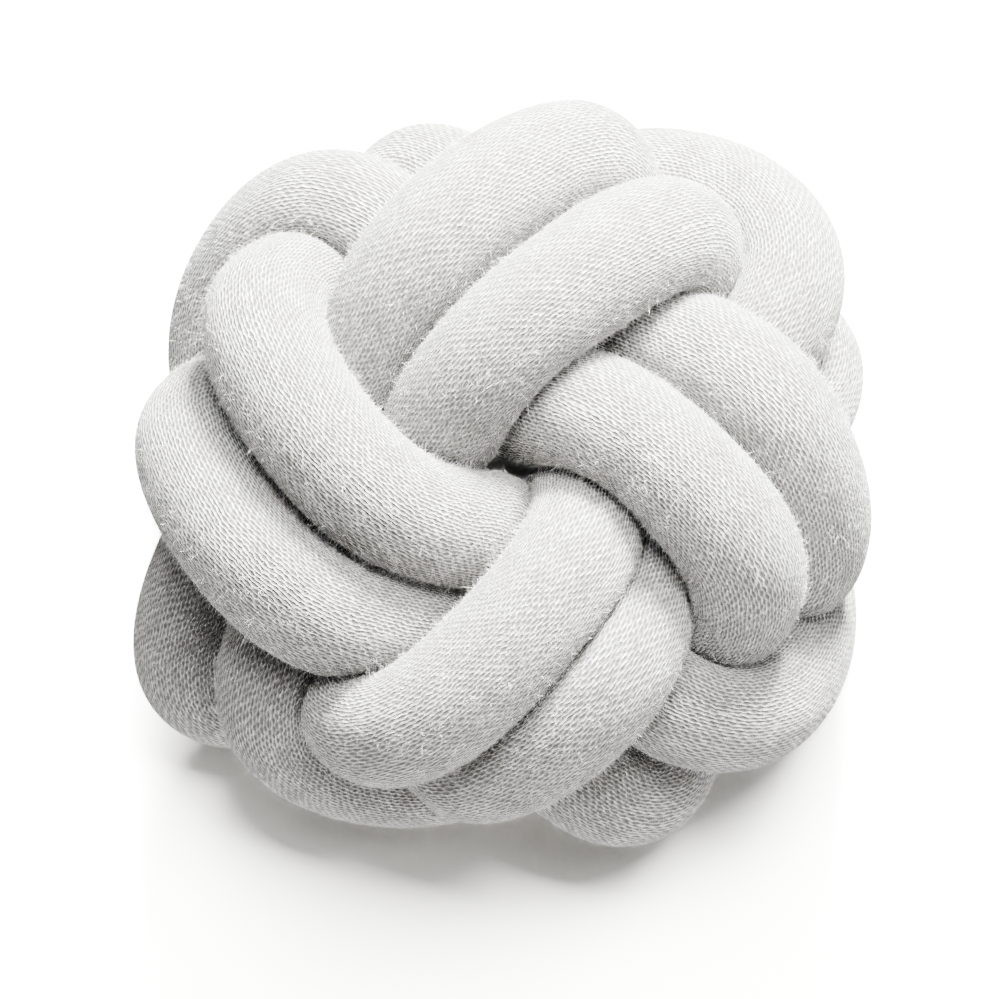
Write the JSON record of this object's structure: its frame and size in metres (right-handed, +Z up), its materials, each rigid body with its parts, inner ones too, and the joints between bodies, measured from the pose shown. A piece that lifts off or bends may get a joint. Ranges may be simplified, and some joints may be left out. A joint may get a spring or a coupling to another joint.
{
  "type": "knot cushion",
  "caption": "Round knot cushion: a long stuffed knitted tube, laid double and tied as an open-centred ball knot, resting on its back.",
  "frame": {"origin": "on the floor under the middle of the cushion's box", "axes": "+Z up through the open centre of the knot, from its back to its face; +Y towards the top of the picture; +X to the picture's right"},
  "size_m": [0.2992, 0.2986, 0.1648],
  "materials": {
    "knit": "soft matt heathered knit"
  },
  "bodies": {
    "root": {"knotted_tube": "knit"}
  },
  "joints": []
}
